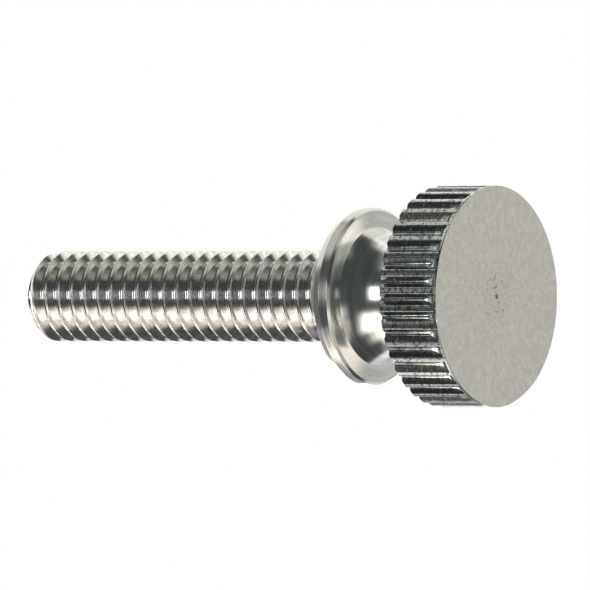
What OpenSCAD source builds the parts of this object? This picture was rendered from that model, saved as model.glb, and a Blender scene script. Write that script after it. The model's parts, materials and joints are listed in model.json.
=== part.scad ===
// Collared thumb screw with a straight-knurled head, turned in one piece from stainless bar.
// It stands on its head: the face of the head lies on z = 0, the axis is +Z and the thread
// points upwards. All sizes are in millimetres.

/* [Thread] */
// Outside diameter of the thread, over its crests
thread_d = 3.95; // [2.9:0.05:6]
// Length of the threaded shank, from the collar's seat to the tip
thread_len = 16.3; // [6:0.1:40]
// Height of the steep chamfer at the tip
tip_chamfer_h = 0.42; // [0.2:0.02:0.8]
// Width of that chamfer
tip_chamfer_w = 0.16; // [0.08:0.02:0.5]

/* [Collar] */
// Diameter of the collar over its rim
collar_d = 7.6; // [7:0.1:12]
// Height of the plain rim of the collar
collar_rim_h = 0.4; // [0.2:0.05:2]
// Height of the bevel that leads from the rim to the seat
collar_bevel_h = 0.44; // [0.1:0.02:1]
// Width of that bevel, which leaves the flat seat inside it
collar_bevel_w = 0.25; // [0.05:0.05:0.4]
// Height and width of the broken edge on the side towards the head
collar_edge = 0.11; // [0.02:0.01:0.2]

/* [Neck] */
// Diameter of the neck between the collar and the head
neck_d = 4.45; // [3.4:0.05:4.8]
// Length of the neck, from the back of the head to the collar
neck_len = 3.18; // [2.6:0.02:10]
// Radius of the sweep that flares the neck into the collar
flare_r = 3.1; // [2:0.05:3.5]
// How far the flare stands out from the neck where it meets the collar
flare_w = 0.73; // [0.2:0.01:0.75]
// Radius of the corner where the neck meets the back of the head
neck_corner_r = 0.2; // [0.05:0.05:0.35]

/* [Head] */
// Diameter of the head over the crests of the knurl
head_d = 9.45; // [8:0.05:16]
// Thickness of the head
head_h = 2.92; // [1.6:0.02:8]
// Height and width of the 45 degree chamfer on the back edge of the head
head_chamfer = 0.1; // [0.05:0.01:0.3]
// Height and width of the broken edge round the face
face_edge = 0.03; // [0.02:0.01:0.1]
// Diameter of the small centre mark that facing leaves in the head
centre_mark_d = 0.2; // [0.1:0.02:0.4]
// Depth of that centre mark
centre_mark_depth = 0.08; // [0.02:0.02:0.2]

/* [Knurl] */
// Number of straight grooves round the head
groove_count = 38; // [24:1:40]
// Depth of a groove, from the crests to its root
groove_depth = 0.23; // [0.1:0.01:0.25]
// Angle between the two walls of a groove
groove_angle = 90; // [60:5:100]
// Radius of the rounded root of a groove
groove_root_r = 0.14; // [0.05:0.01:0.15]
// Height of the plain rim that the grooves leave round the face
face_rim_h = 0.25; // [0.15:0.01:0.5]
// Angle at which the root of each groove climbs to that rim
runout_angle = 32; // [25:1:60]

/* [Hidden] */

steel = [0.70, 0.69, 0.66];

thread_r = thread_d / 2;
collar_r = collar_d / 2;
neck_r = neck_d / 2;
head_r = head_d / 2;

// Levels along the axis, from the face of the head upwards
collar_z = head_h + neck_len;
seat_z = collar_z + collar_edge + collar_rim_h + collar_bevel_h;
tip_z = seat_z + thread_len;

// The flare is an arc, tangent to the neck and cut off by the collar
flare_h = sqrt(pow(flare_r, 2) - pow(flare_r - flare_w, 2));

overcut = 0.2;
root_steps = 6;
smooth = 96;

// Half section of the head: a disc with both edges broken
module head_section() {
    polygon([
        [0, 0],
        [head_r - face_edge, 0],
        [head_r, face_edge],
        [head_r, head_h - head_chamfer],
        [head_r - head_chamfer, head_h],
        [0, head_h]
    ]);
}

// Half section of a shoulder on the neck: it starts at the neck's own radius,
// follows an arc of radius `r` and is `w` wide and `h` high at z = 0
module rounded_shoulder(r, w, h) {
    difference() {
        square([neck_r + w, h]);
        translate([neck_r + r, h]) circle(r = r, $fn = 2 * smooth);
    }
}

// Half section of the neck, with its small corner at the head and its flare at the collar
module neck_section() {
    translate([0, head_h]) {
        square([neck_r, neck_len]);
        rounded_shoulder(neck_corner_r, neck_corner_r, neck_corner_r);
    }
    translate([0, collar_z]) mirror([0, 1]) rounded_shoulder(flare_r, flare_w, flare_h);
}

// Half section of the collar: broken edge, plain rim, then the bevel round its flat seat
module collar_section() {
    polygon([
        [0, collar_z],
        [collar_r - collar_edge, collar_z],
        [collar_r, collar_z + collar_edge],
        [collar_r, seat_z - collar_bevel_h],
        [collar_r - collar_bevel_w, seat_z],
        [0, seat_z]
    ]);
}

// Half section of the shank at the size of its thread's crests, with the chamfered tip
module shank_section() {
    polygon([
        [0, seat_z],
        [thread_r, seat_z],
        [thread_r, tip_z - tip_chamfer_h],
        [thread_r - tip_chamfer_w, tip_z],
        [0, tip_z]
    ]);
}

// Everything that the lathe turns
module turned_blank() {
    rotate_extrude($fn = smooth) {
        head_section();
        neck_section();
        collar_section();
        shank_section();
    }
}

// Outline of one groove, seen along the axis with its root towards the centre:
// a round root, then two straight walls that run out past the crests
function groove_outline() =
    let (
        root_x = head_r - groove_depth + groove_root_r,
        sweep = 90 - groove_angle / 2,
        wall_x = root_x - groove_root_r * cos(sweep),
        wall_y = groove_root_r * sin(sweep),
        mouth_x = head_r + overcut,
        mouth_y = wall_y + (mouth_x - wall_x) * tan(groove_angle / 2)
    )
    concat(
        [for (i = [0 : root_steps])
            let (a = 180 + sweep * (1 - 2 * i / root_steps))
            [root_x + groove_root_r * cos(a), groove_root_r * sin(a)]],
        [[mouth_x, mouth_y], [mouth_x, -mouth_y]]
    );

// Half section of what the grooves leave standing round the face: their roots climb
// along its slope to the plain rim
module runout_section() {
    inner = head_r - groove_depth - overcut;
    outer = head_r + 2 * overcut;
    climb = tan(90 - runout_angle);
    polygon([
        [0, -head_h],
        [outer, -head_h],
        [outer, face_rim_h - (outer - head_r) * climb],
        [inner, face_rim_h + (head_r - inner) * climb],
        [0, face_rim_h + (head_r - inner) * climb]
    ]);
}

// The straight knurl: equal grooves from the rim round the face to the back of the head
module knurl_grooves() {
    difference() {
        for (i = [0 : groove_count - 1])
            rotate(360 * (i + 0.5) / groove_count)
                linear_extrude(head_h + overcut) polygon(groove_outline());
        rotate_extrude($fn = smooth) runout_section();
    }
}

// The mark that the facing cut leaves at the centre of the head
module centre_mark() {
    cylinder(d1 = centre_mark_d, d2 = 0, h = centre_mark_depth, $fn = smooth);
}

module thumb_screw() {
    color(steel) difference() {
        turned_blank();
        knurl_grooves();
        centre_mark();
    }
}

thumb_screw();
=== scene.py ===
"""Thumb screw: a knurled head, a short neck, a washer collar and a threaded shank in one piece."""
import json
import math

import bmesh
import bpy
from bpy.props import FloatProperty, FloatVectorProperty, IntProperty, PointerProperty
from mathutils import Matrix, Vector


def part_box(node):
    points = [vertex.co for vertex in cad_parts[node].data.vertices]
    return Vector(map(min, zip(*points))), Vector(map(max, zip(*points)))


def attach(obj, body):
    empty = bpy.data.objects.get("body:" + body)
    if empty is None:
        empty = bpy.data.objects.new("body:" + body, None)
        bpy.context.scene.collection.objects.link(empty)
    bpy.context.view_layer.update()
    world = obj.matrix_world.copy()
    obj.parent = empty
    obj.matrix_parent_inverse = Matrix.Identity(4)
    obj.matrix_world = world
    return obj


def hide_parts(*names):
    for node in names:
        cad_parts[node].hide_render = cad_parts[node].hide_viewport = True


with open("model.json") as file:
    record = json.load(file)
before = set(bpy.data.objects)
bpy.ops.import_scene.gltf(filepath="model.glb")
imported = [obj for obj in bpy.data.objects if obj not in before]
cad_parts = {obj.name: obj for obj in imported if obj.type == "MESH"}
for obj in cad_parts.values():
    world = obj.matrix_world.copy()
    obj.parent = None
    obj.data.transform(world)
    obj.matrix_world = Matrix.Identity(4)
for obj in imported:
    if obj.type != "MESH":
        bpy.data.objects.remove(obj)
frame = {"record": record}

bl_info = {
    "name": "Thumb Screw",
    "version": (1, 0, 0),
    "blender": (4, 5, 0),
    "location": "3D View > Sidebar > Thumb Screw",
    "description": "Models a knurled thumb screw with a collar, and a small studio for it",
    "category": "Add Mesh",
}

MM = 0.001
FULL_TURN = 2 * math.pi
QUARTER = math.pi / 2
AXIS = (0.0, 0.0, 1.0)
ORIGIN = (0.0, 0.0, 0.0)
# In metres: points this close are one, and a cut that passes a point this close goes through it
WELD = 1e-6
CUT_TOLERANCE = WELD / 10

NODE = "thumb_screw"
BODY = "root"

CAD_LOW, CAD_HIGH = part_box(NODE)
MOUNTS = {mount["name"]: mount for mount in frame["record"]["mounts"]}
SEAT_HEIGHT = MOUNTS["threaded_shank"]["pos_m"][2]


# ---------------------------------------------------------------- sizes and colours


def length_property(name, text, millimetres):
    """A length in metres, given in millimetres."""
    return FloatProperty(
        name=name, description=text, default=millimetres * MM, min=0.0,
        unit="LENGTH", subtype="DISTANCE", precision=5,
    )


def angle_property(name, text, degrees):
    """An angle, given in degrees."""
    return FloatProperty(
        name=name, description=text, default=math.radians(degrees), subtype="ANGLE"
    )


def number_property(name, text, value):
    """A plain number from nothing upwards."""
    return FloatProperty(name=name, description=text, default=value, min=0.0)


def share_property(name, text, value):
    """A number from nothing to one."""
    return FloatProperty(
        name=name, description=text, default=value, min=0.0, max=1.0, subtype="FACTOR"
    )


def colour_property(name, text, rgb):
    """A colour, with the red, green and blue that a shader takes."""
    return FloatVectorProperty(
        name=name, description=text, default=rgb, size=3, min=0.0, max=1.0, subtype="COLOR"
    )


class ThumbScrewHead(bpy.types.PropertyGroup):
    """Sizes of the knurled head, which stands with its face on the ground."""

    diameter: length_property(
        "Diameter", "Across the crests of the knurl", (CAD_HIGH.x - CAD_LOW.x) / MM
    )
    height: length_property("Height", "From the face to the back", 2.92)
    face_edge: length_property("Face Edge", "Broken edge round the face", 0.03)
    chamfer: length_property("Chamfer", "Height and width of the chamfer at the back", 0.1)
    teeth: IntProperty(name="Teeth", description="Teeth round the head", default=38, min=12)
    depth: length_property("Groove Depth", "From the crests to the root of a groove", 0.23)
    groove_angle: angle_property("Groove Angle", "Between the two walls of a groove", 90)
    root_radius: length_property("Root Radius", "Rounding at the bottom of a groove", 0.14)
    crest_radius: length_property("Crest Radius", "Rounding of a tooth's two edges", 0.1)
    rim_height: length_property("Rim Height", "Plain rim between the face and the grooves", 0.1)
    runout_radius: length_property("Run-out Radius", "Curve in which a groove climbs to it", 1.0)
    mark_diameter: length_property("Mark Diameter", "Centre mark left by facing", 0.2)
    mark_depth: length_property("Mark Depth", "Depth of the centre mark", 0.08)


class ThumbScrewCollar(bpy.types.PropertyGroup):
    """Sizes of the neck and of the collar above it."""

    neck_diameter: length_property("Neck Diameter", "Across the neck", 4.45)
    neck_length: length_property("Neck Length", "From the head to the collar", 3.18)
    neck_corner: length_property("Neck Corner", "Rounding where the neck meets the head", 0.2)
    flare_radius: length_property("Flare Radius", "Sweep of the neck into the collar", 3.1)
    flare_width: length_property("Flare Width", "How far the flare stands out at the collar", 0.73)
    diameter: length_property("Diameter", "Across the rim", 7.6)
    edge_break: length_property("Edge Break", "Chamfer of the rim towards the head", 0.11)
    bevel_height: length_property("Bevel Height", "Height of the bevel towards the seat", 0.44)
    bevel_width: length_property("Bevel Width", "Width of the bevel towards the seat", 0.25)
    softening: length_property("Softening", "Rounding left on each turned edge", 0.025)


class ThumbScrewThread(bpy.types.PropertyGroup):
    """Sizes of the right-hand metric thread."""

    diameter: length_property("Diameter", "Across the crests", 3.95)
    pitch: length_property("Pitch", "Rise in one turn", 0.7)
    flank_angle: angle_property("Thread Angle", "Between the two flanks", 60)
    crest_flat: length_property("Crest Width", "Width of the crest before rounding", 0.0875)
    crest_radius: length_property("Crest Radius", "Rounding of the crest's edges", 0.02)
    root_radius: length_property("Root Radius", "Rounding of the root", 0.1)
    tip_height: length_property("Tip Chamfer Height", "Height of the chamfer at the tip", 0.485)
    tip_width: length_property("Tip Chamfer Width", "Width of the chamfer at the tip", 0.38)
    tip_crown: length_property("Tip Crown", "How far the tip stands past the solid's end", 0.105)
    crest_height: length_property("Crest Height", "Where a crest passes the near side", 0.266)
    runout_start: length_property("Run-out Start", "Plain shank above the seat", 0.55)
    runout_length: length_property("Run-out Length", "Over which the groove reaches its depth", 0.7)


class ThumbScrewFinish(bpy.types.PropertyGroup):
    """Colours and polish of the steel. The colours are one steel in four tones, partly its finish
    and partly painted light and shade: each zone is set lighter or darker to stand in for how the
    light falls on it.
    """

    # Painted light and shade: the face is set darker and the thread lighter than the neck and
    # collar, as lit and shaded tones of one steel
    steel: colour_property("Steel", "Colour of the neck and the collar", (0.66, 0.67, 0.67))
    face: colour_property("Face", "Colour of the faced front", (0.525, 0.515, 0.495))
    thread: colour_property("Thread", "Colour of the thread", (0.78, 0.775, 0.77))
    knurl: colour_property("Knurl", "Colour of the knurl", (0.6, 0.63, 0.64))
    face_roughness: share_property("Face Roughness", "Of the faced front", 0.34)
    turned_roughness: share_property("Turned Roughness", "Of the neck and the collar", 0.17)
    thread_roughness: share_property("Thread Roughness", "Of the thread", 0.12)
    knurl_roughness: share_property("Knurl Roughness", "Of the knurl", 0.12)


class ThumbScrewStage(bpy.types.PropertyGroup):
    """Floor, camera and studio light."""

    floor_colour: colour_property("Floor", "Colour of the floor", (0.82, 0.82, 0.81))
    floor_size: number_property("Floor Size", "Side of the floor, in metres", 4.0)
    near_side: angle_property("Near Side", "Turn of the side that faces the camera", -88.363)
    lean: angle_property("Lean", "Angle between the axis and the line of sight", 55.604)
    distance: length_property("Distance", "From the camera to the aim point", 498.28)
    aim_height: length_property("Aim Height", "Height of the aim point on the axis", 21.841)
    aim_right: length_property("Aim Right", "How far the view is moved along the axis", 9.427)
    aim_up: length_property("Aim Up", "How far the view is moved across the axis", 0.0606)
    lens: number_property("Lens", "Focal length in millimetres", 696.2)


# ---------------------------------------------------------------- modelling helpers


# A stretch this many times as long as its neighbour gets a point beside the rounding
LONG_STRETCH = 4


def clear_selection():
    """Leaves edit mode and selects nothing."""
    if bpy.context.mode != "OBJECT":
        bpy.ops.object.mode_set(mode="OBJECT")
    bpy.ops.object.select_all(action="DESELECT")


def pick(rule):
    """In edit mode, selects the vertices whose place the rule accepts. Returns how many."""
    data = bpy.context.edit_object.data
    mesh = bmesh.from_edit_mesh(data)
    count = 0
    for item in (*mesh.faces, *mesh.edges, *mesh.verts):
        item.select = False
    for vertex in mesh.verts:
        if rule(vertex.co):
            vertex.select = True
            count += 1
    mesh.select_flush(True)
    bmesh.update_edit_mesh(data, loop_triangles=False, destructive=False)
    return count


def add_grid(name, rows):
    """A grid whose points are moved one by one to their places, given row by row."""
    clear_selection()
    across, along = len(rows[0]), len(rows)
    bpy.ops.mesh.primitive_grid_add(
        x_subdivisions=across - 1, y_subdivisions=max(1, along - 1), size=MM
    )
    grid = bpy.context.object
    grid.name = grid.data.name = name
    bpy.ops.object.mode_set(mode="EDIT")
    bpy.ops.mesh.select_mode(type="VERT")
    if along == 1:
        pick(lambda place: place.y > 0)
        bpy.ops.mesh.delete(type="VERT")
    for number, end in enumerate(point for row in rows for point in row):
        mesh = bmesh.from_edit_mesh(grid.data)
        mesh.verts.ensure_lookup_table()
        for item in (*mesh.faces, *mesh.edges, *mesh.verts):
            item.select = False
        mesh.verts[number].select = True
        start = mesh.verts[number].co.copy()
        bpy.ops.transform.translate(value=Vector(end) - start)
    bpy.ops.mesh.select_all(action="SELECT")
    return grid


def finish_shell(shell, material):
    """Leaves edit mode, after points that coincide are merged and the faces turned outwards."""
    bpy.ops.mesh.select_all(action="SELECT")
    bpy.ops.mesh.remove_doubles(threshold=WELD)
    bpy.ops.mesh.normals_make_consistent(inside=False)
    bpy.ops.object.mode_set(mode="OBJECT")
    shell.data.materials.clear()
    shell.data.materials.append(material)
    return shell


def rounded_profile(corners, steps):
    """A line of (radius, height) through the corners (radius, height, rounding)."""
    line = []
    for number, (radius, height, rounding) in enumerate(corners):
        here = Vector((radius, height))
        if rounding <= 0 or number in (0, len(corners) - 1):
            line.append(here)
            continue
        before = Vector(corners[number - 1][:2]) - here
        after = Vector(corners[number + 1][:2]) - here
        before.normalize()
        after.normalize()
        half = before.angle(after) / 2
        centre = here + (before + after).normalized() * rounding / math.sin(half)
        first = here + before * rounding / math.tan(half) - centre
        last = here + after * rounding / math.tan(half) - centre
        turn = first.angle_signed(last)
        for step in range(steps + 1):
            share = step / steps
            spoke = first.copy()
            spoke.rotate(Matrix.Rotation(-turn * share, 2))
            line.append(centre + spoke)
    return line


def hold_edges(line):
    """Adds a point beside each rounding, so that the long stretch next to it shades flat."""
    held = [line[0]]
    for number in range(1, len(line)):
        start, end = line[number - 1], line[number]
        length = (end - start).length
        before = (start - line[number - 2]).length if number > 1 else length
        after = (line[number + 1] - end).length if number + 1 < len(line) else length
        along = (end - start) / length
        if before * LONG_STRETCH < length:
            held.append(start + along * before)
        if after * LONG_STRETCH < length:
            held.append(end - along * after)
        held.append(end)
    return held


def arc(centre, radius, start, end, steps):
    """Points of (radius, height) on an arc, with its angles in radians."""
    return [
        Vector((centre[0] + radius * math.cos(turn), centre[1] + radius * math.sin(turn)))
        for turn in (start + (end - start) * step / steps for step in range(steps + 1))
    ]


# ---------------------------------------------------------------- head


ARC_STEPS = 5
EDGE_STEPS = 3
FLARE_STEPS = 20
RUNOUT_STEPS = 6
LATHE_STEPS = 192
SMOOTH_ANGLE = math.radians(28)
# Rows across the face: shares of the head's diameter, and how many points each tooth has there
FACE_ROWS = ((0.12, 4), (0.3, 8))
LAST_FACE_ROW = 0.46
MARK_POINTS = 2


def tooth_outline(head):
    """One tooth seen along the axis, from the root of a groove to the root of the next, as a
    list of (radius, angle) with the tooth's crest at no angle."""
    crest = head.diameter / 2
    wall = head.groove_angle / 2
    half_pitch = math.pi / head.teeth
    root_centre = crest - head.depth + head.root_radius
    # The wall is the line through this point, at the wall's angle to the groove's middle
    wall_in = Vector((
        root_centre - head.root_radius * math.sin(wall), head.root_radius * math.cos(wall)
    ))
    outward = Vector((math.sin(wall), -math.cos(wall)))
    along = Vector((math.cos(wall), math.sin(wall)))
    # The crest's rounding touches the wall and the crest circle from inside
    start = wall_in - outward * head.crest_radius
    reach = crest - head.crest_radius
    middle = start.dot(along)
    travel = -middle + math.sqrt(middle * middle - start.length_squared + reach * reach)
    round_centre = start + along * travel
    wall_out = round_centre + outward * head.crest_radius
    line = arc((root_centre, 0.0), head.root_radius, math.pi, QUARTER + wall, ARC_STEPS)
    # A point of the wall lies at the radius where the chamfer at the back begins
    chamfer_start = crest - head.chamfer
    low_end = line[-1]
    span = wall_out - low_end
    towards = low_end.dot(span) / span.length_squared
    shortfall = (low_end.length_squared - chamfer_start**2) / span.length_squared
    line.append(low_end + span * (-towards + math.sqrt(towards * towards - shortfall)))
    first = math.atan2(outward.y, outward.x)
    last = math.atan2(round_centre.y, round_centre.x)
    line += arc(round_centre, head.crest_radius, first, last, ARC_STEPS)
    line = hold_edges(line)
    half = [(point.length, half_pitch - math.atan2(point.y, point.x)) for point in line]
    half.append((crest, 0.0))
    return [(radius, -angle) for radius, angle in half] + half[-2::-1]


def on_circle(radius, angle, height):
    """A place at a radius and an angle round the axis."""
    return (radius * math.cos(angle), radius * math.sin(angle), height)


def face_column(head, angle):
    """Places across the face along one angle: the centre mark's pole, its rim, then rows whose
    points thin out towards the middle, where those that meet are merged."""
    column = [(0.0, 0.0, head.mark_depth)]
    pitch = FULL_TURN / head.teeth
    rows = [(head.mark_diameter / 2, MARK_POINTS)]
    rows += [(head.diameter * share, points) for share, points in FACE_ROWS]
    for radius, points in rows:
        step = pitch / points
        column.append(on_circle(radius, round(angle / step) * step, 0.0))
    column.append(on_circle(head.diameter * LAST_FACE_ROW, angle, 0.0))
    return column


def runout_line(head, end_radius):
    """The curve from the rim down to this radius, as a list of (radius, height)."""
    crest = head.diameter / 2
    sweep = head.runout_radius
    middle = crest - head.depth + sweep
    bottom = head.rim_height + math.sqrt(sweep**2 - (middle - crest) ** 2)
    end = bottom - math.sqrt(max(0.0, sweep**2 - (middle - end_radius) ** 2))
    line = []
    for step in range(RUNOUT_STEPS + 1):
        height = head.rim_height + (end - head.rim_height) * step / RUNOUT_STEPS
        line.append((middle - math.sqrt(sweep**2 - (bottom - height) ** 2), height))
    return line


class THUMB_SCREW_OT_knurl_head(bpy.types.Operator):
    """Model one tooth with its share of the face, and turn copies of it round the axis"""

    bl_idname = "thumb_screw.knurl_head"
    bl_label = "Knurl Head"

    def execute(self, context):
        head = context.scene.thumb_screw_head
        crest = head.diameter / 2
        limit = crest - head.chamfer
        columns = []
        for radius, angle in tooth_outline(head):
            rise = max(0.0, radius - limit)
            column = face_column(head, angle)
            column.append(on_circle(crest - head.face_edge, angle, 0.0))
            column.append(on_circle(crest, angle, head.face_edge))
            for place_radius, height in runout_line(head, radius):
                column.append(on_circle(place_radius, angle, height))
            column.append(on_circle(radius, angle, head.height - rise))
            column.append(on_circle(min(radius, limit), angle, head.height))
            columns.append(column)
        shell = add_grid("knurled_head", list(zip(*columns)))
        pitch = FULL_TURN / head.teeth
        bpy.ops.mesh.spin(
            steps=head.teeth - 1, dupli=True, angle=pitch * (head.teeth - 1),
            center=ORIGIN, axis=AXIS,
        )
        finish_shell(shell, steel("knurled_steel"))
        return {"FINISHED"}


# ---------------------------------------------------------------- collar and neck


class THUMB_SCREW_OT_turn_collar(bpy.types.Operator):
    """Spin the profile of the neck, its flare and the washer collar round the axis"""

    bl_idname = "thumb_screw.turn_collar"
    bl_label = "Turn Neck and Collar"

    def execute(self, context):
        scene = context.scene
        head, collar, thread = (
            scene.thumb_screw_head, scene.thumb_screw_collar, scene.thumb_screw_thread
        )
        neck = collar.neck_diameter / 2
        rim = collar.diameter / 2
        front = head.height + collar.neck_length
        tool = collar.flare_radius
        flare_height = math.sqrt(tool**2 - (tool - collar.flare_width) ** 2)
        soft = collar.softening
        line = arc(
            (neck + collar.neck_corner, head.height + collar.neck_corner),
            collar.neck_corner, -QUARTER, -math.pi, ARC_STEPS,
        )
        line += arc(
            (neck + tool, front - flare_height), tool, math.pi,
            math.pi - math.asin(flare_height / tool), FLARE_STEPS,
        )
        edge = line.pop()
        line += rounded_profile(
            [
                (line[-1].x, line[-1].y, 0.0),
                (edge.x, edge.y, soft / 2),
                (rim - collar.edge_break, front, soft),
                (rim, front + collar.edge_break, soft),
                (rim, SEAT_HEIGHT - collar.bevel_height, soft),
                (rim - collar.bevel_width, SEAT_HEIGHT, soft),
                (thread.diameter / 2 + soft, SEAT_HEIGHT, 0.0),
            ],
            EDGE_STEPS,
        )[1:]
        line = hold_edges(line)
        shell = add_grid("neck_and_collar", [[(point.x, 0.0, point.y) for point in line]])
        bpy.ops.mesh.spin(
            steps=LATHE_STEPS, angle=FULL_TURN, center=ORIGIN, axis=AXIS, use_auto_merge=True
        )
        finish_shell(shell, steel("turned_steel"))
        return {"FINISHED"}


# ---------------------------------------------------------------- thread


# Steps in one turn, and whole turns that are wound past each end and cut off again
THREAD_STEPS = 80
SPARE_TURNS = 2


def thread_profile(thread):
    """One pitch of the thread from root to root, as (radius, height above the root)."""
    crest = thread.diameter / 2
    lean = thread.flank_angle / 2
    half_pitch = thread.pitch / 2
    root = thread.root_radius
    flat = thread.crest_flat / 2
    # Height from the crest's edge down to where the root's rounding begins
    run = half_pitch - flat - root * math.cos(lean)
    flank_end = crest - run / math.tan(lean)
    root_centre = flank_end + root * math.sin(lean)
    lower = arc((root_centre, 0.0), root, math.pi, QUARTER + lean, ARC_STEPS)
    corner = rounded_profile(
        [
            (lower[-1].x, lower[-1].y, 0.0),
            (crest, half_pitch - flat, thread.crest_radius),
            (crest, half_pitch, 0.0),
        ],
        EDGE_STEPS,
    )
    half = hold_edges(lower + corner[1:])
    upper = [Vector((point.x, thread.pitch - point.y)) for point in half[-2::-1]]
    return half + upper


class THUMB_SCREW_OT_cut_thread(bpy.types.Operator):
    """Wind one pitch of the profile into a right-hand thread, fade it out and chamfer the tip"""

    bl_idname = "thumb_screw.cut_thread"
    bl_label = "Cut Thread"

    def execute(self, context):
        scene = context.scene
        thread = scene.thumb_screw_thread
        near = scene.thumb_screw_stage.near_side
        tip = CAD_HIGH.z + thread.tip_crown
        crest = thread.diameter / 2
        pitch = thread.pitch
        # A crest passes crest_height at the near side, so the profile starts half a pitch lower
        low = SEAT_HEIGHT - SPARE_TURNS * pitch
        start = thread.crest_height - pitch / 2
        start += pitch * math.floor((low - start) / pitch)
        turns = math.ceil((tip - start) / pitch) + SPARE_TURNS
        profile = thread_profile(thread)
        shell = add_grid(
            "threaded_shank", [[(point.x, 0.0, point.y + start) for point in profile]]
        )
        bpy.ops.object.mode_set(mode="OBJECT")
        bpy.ops.object.modifier_add(type="SCREW")
        wind = shell.modifiers[-1]
        wind.axis = "Z"
        wind.angle = FULL_TURN
        wind.screw_offset = pitch
        wind.iterations = turns
        wind.steps = wind.render_steps = THREAD_STEPS
        wind.use_merge_vertices = False
        bpy.ops.object.modifier_apply(modifier=wind.name)
        bpy.ops.transform.rotate(
            value=near, orient_axis="Z", center_override=ORIGIN, orient_type="GLOBAL"
        )
        bpy.ops.object.transform_apply(location=True, rotation=True, scale=True)
        fade_and_point(shell, thread, tip, crest)
        return {"FINISHED"}


def eased(share):
    """Rises smoothly from 0 to 1 as the share does, and stays level outside that range."""
    share = min(1.0, max(0.0, share))
    return share * share * (3 - 2 * share)


def fade_and_point(shell, thread, tip, crest):
    """Fades the groove out towards the collar, cuts both ends and chamfers the tip."""
    plain_end = SEAT_HEIGHT + thread.runout_start
    fade = shell.vertex_groups.new(name="run_out")
    for vertex in shell.data.vertices:
        cut_in = eased((vertex.co.z - plain_end) / thread.runout_length)
        fade.add([vertex.index], 1.0 - cut_in, "REPLACE")
    bpy.ops.object.modifier_add(type="CAST")
    cast = shell.modifiers[-1]
    cast.cast_type = "CYLINDER"
    cast.factor = 1.0
    cast.use_radius_as_size = True
    cast.radius = crest
    cast.use_z = False
    cast.vertex_group = fade.name
    bpy.ops.object.modifier_apply(modifier=cast.name)
    shell.vertex_groups.clear()
    bpy.ops.object.mode_set(mode="EDIT")
    bpy.ops.mesh.select_mode(type="VERT")
    bpy.ops.mesh.select_all(action="SELECT")
    bpy.ops.mesh.remove_doubles(threshold=WELD)
    for height, above in ((SEAT_HEIGHT, False), (tip, True)):
        bpy.ops.mesh.select_all(action="SELECT")
        bpy.ops.mesh.bisect(
            plane_co=(0, 0, height), plane_no=AXIS, use_fill=True,
            clear_inner=not above, clear_outer=above, threshold=CUT_TOLERANCE,
        )
    bpy.ops.mesh.select_all(action="SELECT")
    bpy.ops.mesh.normals_make_consistent(inside=False)
    bar = add_pointed_bar(crest, thread.tip_width, thread.tip_height, tip)
    clear_selection()
    shell.select_set(True)
    bpy.context.view_layer.objects.active = shell
    bpy.ops.object.modifier_add(type="BOOLEAN")
    cut = shell.modifiers[-1]
    cut.operation = "INTERSECT"
    cut.solver = "EXACT"
    cut.object = bar
    bpy.ops.object.modifier_apply(modifier=cut.name)
    bpy.data.objects.remove(bar)
    shell.data.materials.clear()
    shell.data.materials.append(steel("threaded_steel"))


def add_pointed_bar(crest, width, height, tip):
    """A bar with a cone that cuts a chamfer of this width and height at the tip's flat end."""
    clear_selection()
    low = SEAT_HEIGHT / 2
    slope = width / height
    # The cone starts wider than the thread, lower down, and ends narrower, past the tip
    radius = crest + width
    shoulder = tip - 2 * height
    past_tip = crest / 2
    top = tip + (crest - width - past_tip) / slope
    bpy.ops.mesh.primitive_circle_add(
        vertices=LATHE_STEPS, radius=radius, fill_type="NGON", location=(0, 0, low)
    )
    bar = bpy.context.object
    bpy.ops.object.transform_apply(location=True, rotation=True, scale=True)
    bpy.ops.object.mode_set(mode="EDIT")
    bpy.ops.mesh.select_all(action="SELECT")
    bpy.ops.mesh.extrude_region_move(
        TRANSFORM_OT_translate={"value": (0, 0, shoulder - low)}
    )
    bpy.ops.mesh.extrude_region_move(
        TRANSFORM_OT_translate={"value": (0, 0, top - shoulder)}
    )
    share = past_tip / radius
    bpy.ops.transform.resize(value=(share, share, 1), center_override=ORIGIN)
    bpy.ops.mesh.select_all(action="SELECT")
    bpy.ops.mesh.normals_make_consistent(inside=False)
    bpy.ops.object.mode_set(mode="OBJECT")
    return bar


# ---------------------------------------------------------------- one closed piece


# Heights in metres that are this close are the same level
PLACE_TOLERANCE = 5e-6
# How much of a face's normal lies along the axis when the face is about level, and when it is flat
ABOUT_LEVEL = 0.9
FLAT = 0.999


def pick_open_edges(height):
    """In edit mode, selects the edges of open rims that lie at this height."""
    data = bpy.context.edit_object.data
    bpy.ops.mesh.select_mode(type="EDGE")
    bpy.ops.mesh.select_all(action="DESELECT")
    mesh = bmesh.from_edit_mesh(data)
    for edge in mesh.edges:
        if edge.is_boundary and all(
            abs(vertex.co.z - height) < PLACE_TOLERANCE for vertex in edge.verts
        ):
            edge.select = True
    mesh.select_flush_mode()
    bmesh.update_edit_mesh(data, loop_triangles=False, destructive=False)


def pick_faces(rule):
    """In edit mode, selects the faces whose middle and normal the rule accepts."""
    data = bpy.context.edit_object.data
    bpy.ops.mesh.select_mode(type="FACE")
    bpy.ops.mesh.select_all(action="DESELECT")
    mesh = bmesh.from_edit_mesh(data)
    for face in mesh.faces:
        face.select = bool(rule(face.calc_center_median(), face.normal))
    mesh.select_flush_mode()
    bmesh.update_edit_mesh(data, loop_triangles=False, destructive=False)


def give_material(piece, material):
    """In edit mode, gives the selected faces a material of the piece."""
    piece.active_material_index = piece.material_slots.find(material.name)
    bpy.ops.object.material_slot_assign()


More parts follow.
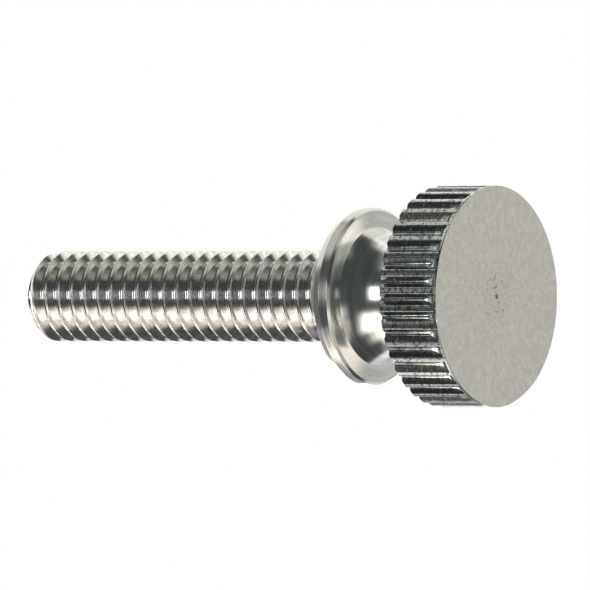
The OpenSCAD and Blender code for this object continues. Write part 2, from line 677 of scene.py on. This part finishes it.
class THUMB_SCREW_OT_join_screw(bpy.types.Operator):
    """Join head, collar and thread into one closed piece and give each zone its finish"""

    bl_idname = "thumb_screw.join_screw"
    bl_label = "Join Screw"

    def execute(self, context):
        scene = context.scene
        head = scene.thumb_screw_head
        clear_selection()
        for name in ("knurled_head", "neck_and_collar", "threaded_shank"):
            bpy.data.objects[name].select_set(True)
        piece = bpy.data.objects["knurled_head"]
        context.view_layer.objects.active = piece
        bpy.ops.object.join()
        piece.name = piece.data.name = "thumb_screw_piece"
        for name in ("faced_steel", "turned_steel"):
            if name not in piece.material_slots:
                piece.data.materials.append(steel(name))
        bpy.ops.object.mode_set(mode="EDIT")
        # The cut has closed the thread's lower end; it's opened again, to be joined to the seat
        pick_faces(
            lambda place, normal: abs(place.z - SEAT_HEIGHT) < WELD
            and normal.z < -ABOUT_LEVEL
        )
        bpy.ops.mesh.delete(type="ONLY_FACE")
        for height in (head.height, SEAT_HEIGHT):
            pick_open_edges(height)
            bpy.ops.mesh.bridge_edge_loops()
        bpy.ops.mesh.select_mode(type="VERT")
        bpy.ops.mesh.select_all(action="SELECT")
        bpy.ops.mesh.remove_doubles(threshold=WELD)
        bpy.ops.mesh.normals_make_consistent(inside=False)
        pick_faces(
            lambda place, normal: normal.z < -FLAT and place.z < PLACE_TOLERANCE
            or place.z < head.height and place.xy.length < head.mark_diameter
        )
        give_material(piece, steel("faced_steel"))
        pick_faces(
            lambda place, normal: normal.z > FLAT
            and min(abs(place.z - head.height), abs(place.z - SEAT_HEIGHT)) < PLACE_TOLERANCE
        )
        give_material(piece, steel("turned_steel"))
        bpy.ops.object.mode_set(mode="OBJECT")
        bpy.ops.object.shade_smooth_by_angle(angle=SMOOTH_ANGLE)
        bpy.ops.object.mode_set(mode="EDIT")
        pick_faces(lambda place, normal: abs(normal.z) > FLAT)
        bpy.ops.mesh.faces_shade_flat()
        bpy.ops.object.mode_set(mode="OBJECT")
        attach(piece, BODY)
        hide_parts(NODE)
        return {"FINISHED"}


# ---------------------------------------------------------------- materials


def link(tree, source, target):
    """Joins an output socket to an input socket."""
    tree.links.new(source, target)


def maths(tree, operation, first, second=None):
    """A maths node; each input is a socket or a number."""
    node = tree.nodes.new("ShaderNodeMath")
    node.operation = operation
    for socket, value in zip(node.inputs, (first, second)):
        if value is None:
            continue
        if isinstance(value, (int, float)):
            socket.default_value = value
        else:
            link(tree, value, socket)
    return node.outputs[0]


def ramp_between(tree, value, start, end):
    """Rises smoothly from 0 at start to 1 at end."""
    node = tree.nodes.new("ShaderNodeMapRange")
    node.interpolation_type = "SMOOTHSTEP"
    link(tree, value, node.inputs["Value"])
    node.inputs["From Min"].default_value = start
    node.inputs["From Max"].default_value = end
    return node.outputs["Result"]


def window(tree, value, low, high, blur):
    """1 between low and high and 0 outside, with blurred edges."""
    rise = ramp_between(tree, value, low - blur / 2, low + blur / 2)
    fall = ramp_between(tree, value, high + blur / 2, high - blur / 2)
    return maths(tree, "MULTIPLY", rise, fall)


def vector_maths(tree, operation, first, second=None, scale=None):
    """A vector maths node; each input is a socket or three numbers, the scale also a number."""
    node = tree.nodes.new("ShaderNodeVectorMath")
    node.operation = operation
    for socket, value in zip(node.inputs, (first, second)):
        if isinstance(value, (tuple, list)):
            socket.default_value = value
        elif value is not None:
            link(tree, value, socket)
    if isinstance(scale, (int, float)):
        node.inputs["Scale"].default_value = scale
    elif scale is not None:
        link(tree, scale, node.inputs["Scale"])
    return node.outputs["Value" if operation == "LENGTH" else "Vector"]


def lathe_places(tree):
    """Where a point lies on the turned screw, in millimetres: its place, its distance from the
    axis, its height, and the direction in which it lies from the axis."""
    coordinates = tree.nodes.new("ShaderNodeTexCoord")
    place = vector_maths(tree, "SCALE", coordinates.outputs["Object"], scale=1 / MM)
    across = vector_maths(tree, "MULTIPLY", place, (1.0, 1.0, 0.0))
    radius = vector_maths(tree, "LENGTH", across)
    outward = vector_maths(tree, "NORMALIZE", across)
    height = tree.nodes.new("ShaderNodeSeparateXYZ")
    link(tree, place, height.inputs["Vector"])
    return place, radius, height.outputs["Z"], outward


def noise(tree, vector, scale, detail, rough):
    """Soft noise of about 0 to 1 with this many waves in one unit of the vector."""
    node = tree.nodes.new("ShaderNodeTexNoise")
    link(tree, vector, node.inputs["Vector"])
    node.inputs["Scale"].default_value = scale
    node.inputs["Detail"].default_value = detail
    node.inputs["Roughness"].default_value = rough
    return node.outputs["Fac"]


def tool_marks(tree, places, turn, out, up, detail, rough=0.5):
    """Noise that changes this fast round the axis, outwards and upwards: marks that run round the
    axis have little turn, and rays have much."""
    _, radius, height, outward = places
    run = maths(
        tree, "ADD", maths(tree, "MULTIPLY", radius, out), maths(tree, "MULTIPLY", height, up)
    )
    around = vector_maths(tree, "SCALE", outward, scale=turn)
    along = vector_maths(tree, "SCALE", AXIS, scale=run)
    vector = vector_maths(tree, "ADD", around, along)
    return noise(tree, vector, scale=1.0, detail=detail, rough=rough)


def blend_colour(tree, share, first, second):
    """From the first colour to the second; each is a socket or three numbers."""
    node = tree.nodes.new("ShaderNodeMix")
    node.data_type = "RGBA"
    link(tree, share, node.inputs["Factor"])
    for name, value in (("A", first), ("B", second)):
        socket = [item for item in node.inputs if item.name == name and item.type == "RGBA"][0]
        if isinstance(value, (tuple, list)):
            socket.default_value = (*value, 1.0)
        else:
            link(tree, value, socket)
    return [item for item in node.outputs if item.type == "RGBA"][0]


def shaded(colour, tone):
    """The colour in a darker or lighter tone, which is a share of it."""
    return tuple(min(1.0, part * tone) for part in colour)


def streaked(tree, pattern, start, end, colour, dark, light):
    """A colour that turns from its dark tone to its light one as the pattern rises."""
    share = ramp_between(tree, pattern, start, end)
    return blend_colour(tree, share, shaded(colour, dark), shaded(colour, light))


def add_polish(tree, shader, pattern, roughness, low, high):
    """Roughness that follows a pattern from a low to a high share of its usual value."""
    node = tree.nodes.new("ShaderNodeMapRange")
    link(tree, pattern, node.inputs["Value"])
    node.inputs["To Min"].default_value = roughness * low
    node.inputs["To Max"].default_value = roughness * high
    link(tree, node.outputs["Result"], shader.inputs["Roughness"])


def add_bump(tree, shader, height, depth, strength=0.5):
    """Tool marks of this depth in millimetres."""
    bump = tree.nodes.new("ShaderNodeBump")
    bump.inputs["Strength"].default_value = strength
    bump.inputs["Distance"].default_value = depth * MM
    link(tree, height, bump.inputs["Height"])
    link(tree, bump.outputs["Normal"], shader.inputs["Normal"])


def finish_face(tree, shader, places, finish):
    """The faced front: a soft sheen, faint rays that are partly bumped and partly painted into the
    colour as a painted reflection, mottling, and small pits at the centre.
    """
    place, radius, _, _ = places
    colour = finish.face
    rays = tool_marks(tree, places, turn=16.0, out=1.1, up=0.0, detail=3.0, rough=0.6)
    mottle = noise(tree, place, scale=3.2, detail=5.0, rough=0.75)
    rings = tool_marks(tree, places, turn=0.6, out=7.0, up=0.0, detail=2.0)
    grain = noise(tree, place, scale=3.6, detail=4.0, rough=0.7)
    # Painted reflection: faint light and dark rays in the colour stand in for how the facing marks
    # catch the light
    look = streaked(tree, rays, start=0.3, end=0.7, colour=colour, dark=0.93, light=1.07)
    mottled = ramp_between(tree, mottle, start=0.56, end=0.36)
    look = blend_colour(tree, mottled, look, shaded(colour, tone=0.87))
    # Pits lie near the middle, and the centre mark is as dark as they are
    middle = ramp_between(tree, radius, start=1.9, end=0.1)
    pits = ramp_between(tree, grain, start=0.5, end=0.68)
    mark = ramp_between(tree, radius, start=0.16, end=0.05)
    dark = maths(tree, "MAXIMUM", maths(tree, "MULTIPLY", middle, pits), mark)
    look = blend_colour(tree, dark, look, shaded(colour, tone=0.3))
    link(tree, look, shader.inputs["Base Color"])
    add_polish(tree, shader, mottle, finish.face_roughness, low=0.9, high=1.15)
    add_bump(tree, shader, maths(tree, "ADD", rings, rays), depth=0.004)


def finish_turned(tree, shader, places, finish):
    """The neck and the collar: bright, with fine feed marks and a few dull bands round them."""
    place, _, _, _ = places
    colour = finish.steel
    feed = tool_marks(tree, places, turn=0.5, out=9.0, up=12.0, detail=3.0, rough=0.6)
    bands = tool_marks(tree, places, turn=1.2, out=2.6, up=3.4, detail=2.0)
    grain = noise(tree, place, scale=6.0, detail=3.0, rough=0.7)
    look = streaked(tree, bands, start=0.35, end=0.65, colour=colour, dark=0.94, light=1.1)
    specks = ramp_between(tree, grain, start=0.6, end=0.75)
    look = blend_colour(tree, specks, look, shaded(colour, tone=0.6))
    link(tree, look, shader.inputs["Base Color"])
    add_polish(tree, shader, feed, finish.turned_roughness, low=0.6, high=1.5)
    add_bump(tree, shader, feed, depth=0.0022)


def finish_thread(tree, shader, places, finish):
    """The thread: bright along its turns, its colour set lighter than the rest of the steel partly
    as painted light, with fine streaks and small dull spots.
    """
    place, _, _, _ = places
    colour = finish.thread
    streaks = tool_marks(tree, places, turn=7.0, out=5.0, up=2.5, detail=3.0, rough=0.65)
    grain = noise(tree, place, scale=5.0, detail=4.0, rough=0.7)
    look = streaked(tree, streaks, start=0.35, end=0.65, colour=colour, dark=0.86, light=1.04)
    spots = ramp_between(tree, grain, start=0.56, end=0.74)
    look = blend_colour(tree, spots, look, shaded(colour, tone=0.55))
    link(tree, look, shader.inputs["Base Color"])
    add_polish(tree, shader, streaks, finish.thread_roughness, low=0.7, high=1.4)
    add_bump(tree, shader, streaks, depth=0.0025, strength=0.25)


# Tones of the knurl's colour from the root of a groove, at 0, to the crest of a tooth, at 1:
# painted shade darkens the walls and roots, and a painted highlight lightens the crests
KNURL_PAINTED_LIGHT_TONES = ((0.0, 0.75), (0.3, 0.5), (0.62, 0.3), (0.9, 0.5), (1.0, 1.15))


def finish_knurl(tree, shader, places, finish):
    """The knurl: crests lightened as a painted highlight, walls darkened and roots greyed as
    painted shade, groove ends at the rim lightened as a painted highlight, and small pits all over.
    """
    place, radius, height, _ = places
    colour = finish.knurl
    head = bpy.context.scene.thumb_screw_head
    crest = head.diameter / 2 / MM
    root = crest - head.depth / MM
    share = maths(tree, "DIVIDE", maths(tree, "SUBTRACT", radius, root), crest - root)
    # Painted shade on the walls and roots and a painted highlight on the crests, by distance from
    # the axis
    painted_tones = tree.nodes.new("ShaderNodeValToRGB")
    stops = painted_tones.color_ramp.elements
    ends = {0.0: 0, 1.0: -1}
    for position, tone in KNURL_PAINTED_LIGHT_TONES:
        stop = stops[ends[position]] if position in ends else stops.new(position)
        stop.color = (*shaded(colour, tone), 1.0)
    link(tree, share, painted_tones.inputs["Fac"])
    # Where the grooves climb to the rim, they are painted bright: a painted highlight
    near_rim = ramp_between(tree, height, start=0.8, end=0.7)
    low_down = ramp_between(tree, share, start=0.75, end=0.2)
    painted_rim_highlight = maths(tree, "MULTIPLY", near_rim, low_down)
    look = blend_colour(tree, painted_rim_highlight, painted_tones.outputs["Color"], shaded(colour, tone=1.5))
    grain = noise(tree, place, scale=6.0, detail=4.0, rough=0.75)
    pits = ramp_between(tree, grain, start=0.5, end=0.6)
    look = blend_colour(tree, pits, look, shaded(colour, tone=0.32))
    glints = ramp_between(tree, grain, start=0.44, end=0.34)
    look = blend_colour(tree, glints, look, shaded(colour, tone=1.2))
    link(tree, look, shader.inputs["Base Color"])
    add_polish(tree, shader, grain, finish.knurl_roughness, low=0.7, high=1.4)
    add_bump(tree, shader, grain, depth=0.009)


FINISHES = {
    "faced_steel": finish_face,
    "turned_steel": finish_turned,
    "threaded_steel": finish_thread,
    "knurled_steel": finish_knurl,
}


def steel(name):
    """The named finish of the steel, made once."""
    made = bpy.data.materials.get(name)
    if made:
        return made
    made = bpy.data.materials.new(name)
    made.use_nodes = True
    tree = made.node_tree
    shader = tree.nodes["Principled BSDF"]
    shader.inputs["Metallic"].default_value = 1.0
    FINISHES[name](tree, shader, lathe_places(tree), bpy.context.scene.thumb_screw_finish)
    return made


# ---------------------------------------------------------------- stage


# Soft boxes round the screw, in degrees: turn from the near side, height above the level plane
# and blur of the edge, then the brightness and the colour. The room between them is dim.
SOFT_BOXES = (
    # the key light near the camera, and a softer one over it
    (-5, 17, 3, 20, 4, 5.0, (1.0, 1.0, 1.0)),
    (-5, 18, 41, 58, 14, 3.7, (1.0, 1.0, 0.9)),
    # the side light towards the thread's left, low and wide
    (-68, -33, -13, 20, 18, 2.6, (1.0, 0.97, 0.88)),
    (-92, -71, 0, 35, 18, 1.26, (1.0, 0.97, 0.89)),
    # two narrow strips above it
    (-110, -69, 19, 27, 3, 9.5, (1.0, 0.87, 0.75)),
    (-102, -56, 38, 64, 3, 4.2, (1.0, 0.86, 0.68)),
    (-153, -42, 12, 71, 3, 0.27, (1.0, 1.0, 0.98)),
    # white walls behind the head's side
    (-200, -158, 14, 74, 4, 2.7, (1.0, 0.88, 0.77)),
    (-200, -131, -23, 32, 3, 0.86, (1.0, 1.0, 1.0)),
    (116, 200, -26, 73, 5, 0.98, (1.0, 0.97, 0.89)),
    (54, 113, 16, 72, 18, 0.56, (1.0, 0.98, 0.87)),
    (101, 119, 3, 24, 18, 1.0, (1.0, 1.0, 0.91)),
    # the ceiling
    (-58, 89, 66, 95, 3, 0.37, (1.0, 1.0, 0.91)),
    (52, 200, 75, 95, 3, 0.07, (1.0, 0.96, 0.87)),
    (-200, -42, 38, 95, 3, 0.06, (1.0, 1.0, 1.0)),
    # the pale table and what it throws back
    (-112, -43, -95, -30, 5, 0.62, (1.0, 0.92, 0.79)),
    (-43, -21, -55, -39, 18, 1.53, (1.0, 0.92, 0.81)),
    (-37, 16, -58, -48, 3, 0.46, (1.0, 0.96, 0.85)),
    (72, 127, -56, -31, 18, 0.59, (1.0, 0.97, 0.8)),
    (147, 200, -52, -16, 5, 0.68, (1.0, 0.97, 0.89)),
    (-200, -137, -76, -38, 14, 1.96, (1.0, 1.0, 0.93)),
    (-200, 200, -95, -74, 12, 1.06, (0.97, 1.0, 0.92)),
)
DIM = (0.07, 0.078, 0.076)
WHITE = (1.0, 1.0, 1.0, 1.0)


def light_studio(world, near_side):
    """Soft boxes for reflections and soft light; what the camera sees directly is white."""
    world.use_nodes = True
    tree = world.node_tree
    tree.nodes.clear()
    place = tree.nodes.new("ShaderNodeTexCoord")
    turn = tree.nodes.new("ShaderNodeVectorRotate")
    turn.rotation_type = "Z_AXIS"
    turn.inputs["Angle"].default_value = -near_side
    link(tree, place.outputs["Generated"], turn.inputs["Vector"])
    split = tree.nodes.new("ShaderNodeSeparateXYZ")
    link(tree, turn.outputs["Vector"], split.inputs["Vector"])
    around = maths(tree, "ARCTAN2", split.outputs["Y"], split.outputs["X"])
    above = maths(tree, "ARCSINE", split.outputs["Z"])
    total = DIM
    for turn_from, turn_to, low, high, blur, brightness, colour in SOFT_BOXES:
        blurred = math.radians(blur)
        across = window(tree, around, math.radians(turn_from), math.radians(turn_to), blurred)
        upward = window(tree, above, math.radians(low), math.radians(high), blurred)
        shape = maths(tree, "MULTIPLY", across, upward)
        bright = [part * brightness for part in colour]
        total = vector_maths(
            tree, "ADD", total, vector_maths(tree, "SCALE", bright, scale=shape)
        )
    studio = tree.nodes.new("ShaderNodeBackground")
    link(tree, total, studio.inputs["Color"])
    plain = tree.nodes.new("ShaderNodeBackground")
    plain.inputs["Color"].default_value = WHITE
    path = tree.nodes.new("ShaderNodeLightPath")
    choose = tree.nodes.new("ShaderNodeMixShader")
    link(tree, path.outputs["Is Camera Ray"], choose.inputs[0])
    link(tree, studio.outputs[0], choose.inputs[1])
    link(tree, plain.outputs[0], choose.inputs[2])
    out = tree.nodes.new("ShaderNodeOutputWorld")
    link(tree, choose.outputs[0], out.inputs["Surface"])


FLOOR_GAP = 0.02 * MM
FLOOR_ROUGHNESS = 0.9


def add_floor(stage):
    """A large pale floor just under the face; from below it isn't seen."""
    clear_selection()
    bpy.ops.mesh.primitive_plane_add(size=stage.floor_size, location=(0, 0, -FLOOR_GAP))
    floor = bpy.context.object
    floor.name = floor.data.name = "floor"
    bpy.ops.object.transform_apply(location=True, rotation=True, scale=True)
    for ray in ("diffuse", "glossy", "transmission", "volume_scatter", "shadow"):
        setattr(floor, "visible_" + ray, False)
    paint = bpy.data.materials.new("pale_floor")
    paint.use_nodes = True
    tree = paint.node_tree
    shader = tree.nodes["Principled BSDF"]
    shader.inputs["Base Color"].default_value = (*stage.floor_colour, 1.0)
    shader.inputs["Roughness"].default_value = FLOOR_ROUGHNESS
    side = tree.nodes.new("ShaderNodeNewGeometry")
    clear = tree.nodes.new("ShaderNodeBsdfTransparent")
    choose = tree.nodes.new("ShaderNodeMixShader")
    link(tree, side.outputs["Backfacing"], choose.inputs[0])
    link(tree, shader.outputs[0], choose.inputs[1])
    link(tree, clear.outputs[0], choose.inputs[2])
    link(tree, choose.outputs[0], tree.nodes["Material Output"].inputs["Surface"])
    floor.data.materials.append(paint)


# Width of the camera's sensor in millimetres
SENSOR = 36.0


def add_camera(stage):
    """The camera, below and beside the head, with the screw's axis level in its view."""
    near = Vector((math.cos(stage.near_side), math.sin(stage.near_side), 0.0))
    axis = Vector(AXIS)
    up = axis.cross(near)
    lean = stage.lean
    back = near * math.sin(lean) - axis * math.cos(lean)
    right = -axis * math.sin(lean) - near * math.cos(lean)
    place = axis * stage.aim_height + right * stage.aim_right + up * stage.aim_up
    place += back * stage.distance
    bpy.ops.object.camera_add(location=place)
    camera = bpy.context.object
    turn = Matrix((right, up, back)).transposed()
    camera.rotation_euler = turn.to_euler()
    camera.data.sensor_width = SENSOR
    camera.data.lens = stage.lens
    bpy.context.scene.camera = camera


class THUMB_SCREW_OT_set_stage(bpy.types.Operator):
    """Add the floor, the studio light and the camera"""

    bl_idname = "thumb_screw.set_stage"
    bl_label = "Set Stage"

    def execute(self, context):
        scene = context.scene
        stage = scene.thumb_screw_stage
        add_floor(stage)
        world = bpy.data.worlds.new("studio")
        scene.world = world
        light_studio(world, stage.near_side)
        add_camera(stage)
        scene.view_settings.view_transform = "Standard"
        return {"FINISHED"}


# ---------------------------------------------------------------- panel and registration


class THUMB_SCREW_PT_panel(bpy.types.Panel):
    """Sizes, finishes and steps of the thumb screw"""

    bl_idname = "THUMB_SCREW_PT_panel"
    bl_label = "Thumb Screw"
    bl_space_type = "VIEW_3D"
    bl_region_type = "UI"
    bl_category = "Thumb Screw"

    def draw(self, context):
        layout = self.layout
        for name, _, step in STEPS:
            group = getattr(context.scene, name)
            box = layout.box()
            box.label(text=group.bl_rna.description or name)
            for field in group.__annotations__:
                box.prop(group, field)
            if step:
                box.operator(step.bl_idname)
        layout.operator(THUMB_SCREW_OT_join_screw.bl_idname)


# Each group of sizes with its name in the scene and the step that uses it
STEPS = (
    ("thumb_screw_head", ThumbScrewHead, THUMB_SCREW_OT_knurl_head),
    ("thumb_screw_collar", ThumbScrewCollar, THUMB_SCREW_OT_turn_collar),
    ("thumb_screw_thread", ThumbScrewThread, THUMB_SCREW_OT_cut_thread),
    ("thumb_screw_finish", ThumbScrewFinish, None),
    ("thumb_screw_stage", ThumbScrewStage, THUMB_SCREW_OT_set_stage),
)
CLASSES = (
    THUMB_SCREW_OT_knurl_head,
    THUMB_SCREW_OT_turn_collar,
    THUMB_SCREW_OT_cut_thread,
    THUMB_SCREW_OT_join_screw,
    THUMB_SCREW_OT_set_stage,
    THUMB_SCREW_PT_panel,
)


def register():
    """Makes the sizes, the steps and the panel known to Blender."""
    for name, group, _ in STEPS:
        bpy.utils.register_class(group)
        setattr(bpy.types.Scene, name, PointerProperty(type=group))
    for item in CLASSES:
        bpy.utils.register_class(item)


def unregister():
    """Takes them away again."""
    for item in reversed(CLASSES):
        bpy.utils.unregister_class(item)
    for name, group, _ in reversed(STEPS):
        delattr(bpy.types.Scene, name)
        bpy.utils.unregister_class(group)


def main():
    """Builds the screw and its stage."""
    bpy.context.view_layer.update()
    register()
    bpy.ops.thumb_screw.knurl_head()
    bpy.ops.thumb_screw.turn_collar()
    bpy.ops.thumb_screw.cut_thread()
    bpy.ops.thumb_screw.join_screw()
    bpy.ops.thumb_screw.set_stage()


if __name__ == "__main__":
    main()
